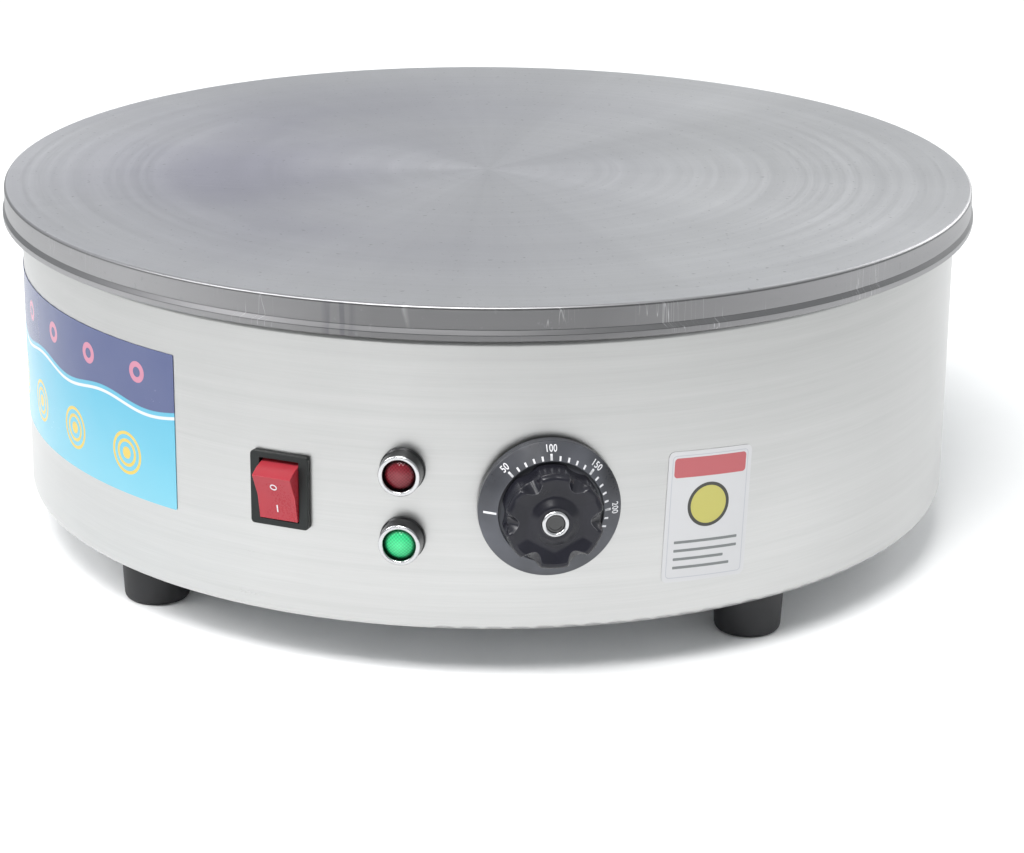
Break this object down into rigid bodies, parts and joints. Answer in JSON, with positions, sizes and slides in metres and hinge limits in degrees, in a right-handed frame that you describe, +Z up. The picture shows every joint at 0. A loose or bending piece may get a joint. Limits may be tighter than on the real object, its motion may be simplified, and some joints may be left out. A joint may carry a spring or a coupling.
{
  "type": "roti maker",
  "caption": "Round electric griddle: cast plate on a brushed steel drum with a rocker switch, two indicator lamps, a thermostat knob and rubber feet; the knob turns and the rocker tilts.",
  "frame": {"origin": "on the floor, on the axis of the drum", "axes": "+Z up, -Y towards the front with the controls, +X to the right seen from the front"},
  "size_m": [0.3999, 0.4211, 0.15],
  "materials": {
    "plate_iron": "turned face with fine concentric tool marks, darker turned rim",
    "gasket_fibre": "woven glass-fibre tape",
    "drum_steel": "stainless sheet brushed round the drum",
    "bright_fastener": "bright nickel-plated steel",
    "zinc_fastener": "zinc-plated steel",
    "ring_sheath": "heat-tinted steel tube",
    "white_ceramic": "unglazed steatite",
    "bus_brass": "bare brass",
    "inner_sheet": "aluminised steel sheet",
    "insulation_wool": "mineral wool board",
    "copper": "drawn copper",
    "cover_sheet": "galvanised steel sheet",
    "foot_rubber": "moulded matt black rubber",
    "switch_black": "fine-grained black nylon",
    "rocker_red": "translucent red polycarbonate with white marks",
    "bezel_chrome": "bright chrome plate",
    "lens_red": "clear deep red lens",
    "lens_green": "clear green lens",
    "lamp_white": "white nylon",
    "bulb_glass": "clear glass",
    "bakelite": "brown phenolic moulding",
    "skirt_black": "satin black phenolic with white scale",
    "knob_black": "satin black phenolic",
    "cap_black": "gloss black disc",
    "gland_black": "black nylon",
    "seal_rubber": "black rubber",
    "wire_brown": "silicone-sheathed wire",
    "wire_blue": "silicone-sheathed wire",
    "wire_green": "silicone-sheathed wire",
    "wire_grey": "thin silicone-sheathed wire",
    "foil_print": null,
    "label_print": null
  },
  "bodies": {
    "casing": {"griddle_plate": "plate_iron", "rim_gasket": "gasket_fibre", "drum_shell": "drum_steel", "seam_rivets": "bright_fastener", "plate_bolts": "zinc_fastener", "plate_washers": "zinc_fastener", "outer_element": "ring_sheath", "middle_element": "ring_sheath", "inner_element": "ring_sheath", "element_beads": "white_ceramic", "element_links": "bus_brass", "element_clamp": "inner_sheet", "insulation_pad": "insulation_wool", "heat_shield": "inner_sheet", "clamp_studs": "zinc_fastener", "clamp_nuts": "zinc_fastener", "clamp_washers": "zinc_fastener", "sensor_bulb": "copper", "base_cover": "cover_sheet", "base_screws": "bright_fastener", "rubber_feet": "foot_rubber", "foot_screws": "zinc_fastener", "foot_washers": "zinc_fastener", "foot_nuts": "zinc_fastener", "switch_housing": "switch_black", "switch_terminals": "bus_brass", "lamp_bezels": "bezel_chrome", "red_lens": "lens_red", "green_lens": "lens_green", "lamp_bodies": "lamp_white", "lamp_nuts": "bright_fastener", "lamp_terminals": "bus_brass", "lamp_bulbs": "bulb_glass", "thermostat_body": "bakelite", "thermostat_flange": "cover_sheet", "thermostat_screws": "bright_fastener", "thermostat_terminals": "bus_brass", "gland_body": "gland_black", "gland_seal": "seal_rubber", "gland_cap": "gland_black", "gland_locknut": "gland_black", "terminal_block": "white_ceramic", "terminal_screws": "bus_brass", "block_screws": "bright_fastener", "earth_stud": "zinc_fastener", "earth_nuts": "zinc_fastener", "live_leads": "wire_brown", "neutral_leads": "wire_blue", "earth_lead": "wire_green", "lamp_leads": "wire_grey", "side_sticker": "foil_print", "front_label": "label_print"},
    "knob": {"dial_skirt": "skirt_black", "knob_grip": "knob_black", "knob_cap_ring": "bezel_chrome", "knob_cap_disc": "cap_black", "thermostat_shaft": "bright_fastener"},
    "rocker": {"switch_rocker": "rocker_red", "switch_plungers": "bright_fastener"},
    "contacts": {"switch_bridges": "bus_brass"}
  },
  "joints": [
    {"name": "knob_turn", "type": "hinge", "parent": "casing", "child": "knob", "pos_m": [0.04592, -0.18694, 0.073], "axis": [0.2385, -0.9711, 0], "range_deg": [-90, 180]},
    {"name": "rocker_tilt", "type": "hinge", "parent": "casing", "child": "rocker", "pos_m": [-0.05271, -0.18383, 0.073], "axis": [-0.9613, 0.2756, 0], "range_deg": [0, 36]},
    {"name": "bridge_rock", "type": "hinge", "parent": "casing", "child": "contacts", "pos_m": [-0.04894, -0.17066, 0.073], "axis": [0.9613, -0.2756, 0], "range_deg": [0, 18]}
  ],
  "couplings": [
    {"joint": "bridge_rock", "follows": "rocker_tilt", "ratio": 0.5}
  ]
}
